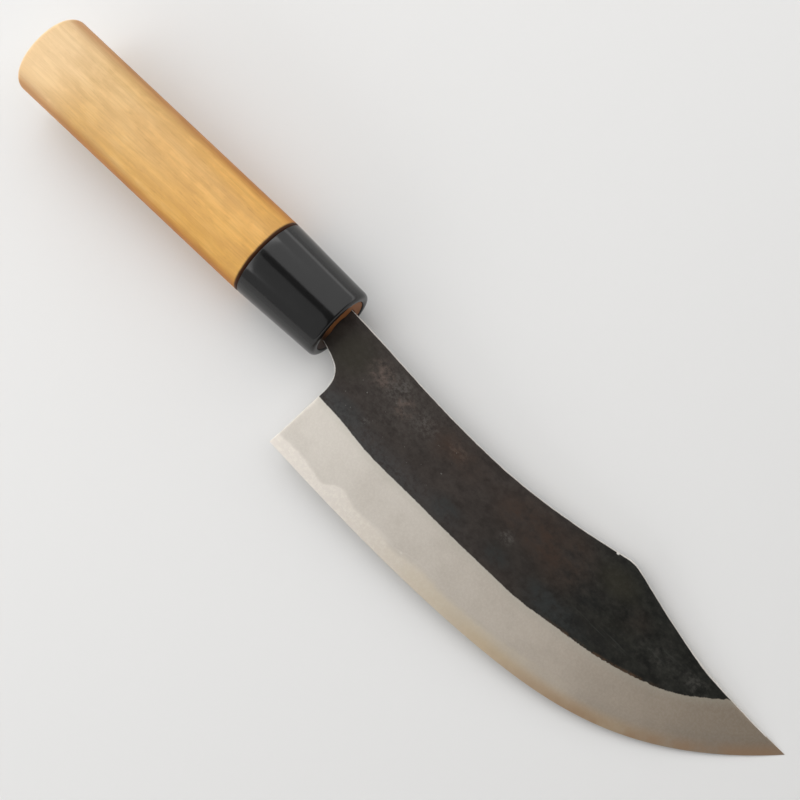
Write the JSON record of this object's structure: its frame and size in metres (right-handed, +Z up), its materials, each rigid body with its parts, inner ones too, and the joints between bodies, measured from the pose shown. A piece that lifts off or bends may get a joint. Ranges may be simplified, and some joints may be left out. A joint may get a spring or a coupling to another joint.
{
  "type": "sabaki knife",
  "caption": "Short forged kitchen and butchery knife with a humped back, swept belly and black scaled faces, on an oval wooden handle with a black collar.",
  "frame": {"origin": "under the middle of the knife's box, at the height of the handle's lowest line, with the knife on its left side", "axes": "+X from the butt towards the tip, +Y from the cutting edge towards the back, +Z up out of the right face"},
  "size_m": [0.2712, 0.049, 0.0202],
  "materials": {
    "core_steel": "hard carbon steel, ground and honed along the cutting edge, plain forged inside the handle",
    "clad_iron": "soft forged iron with black scale on the flat and a hazy satin ground bevel below it",
    "handle_wood": "pale straight-grained wood under clear lacquer, scorched at the tenon's end",
    "ferrule_plastic": "moulded gloss black"
  },
  "bodies": {
    "root": {"core_steel": "core_steel", "right_cladding": "clad_iron", "left_cladding": "clad_iron", "handle": "handle_wood", "ferrule": "ferrule_plastic"}
  },
  "joints": []
}
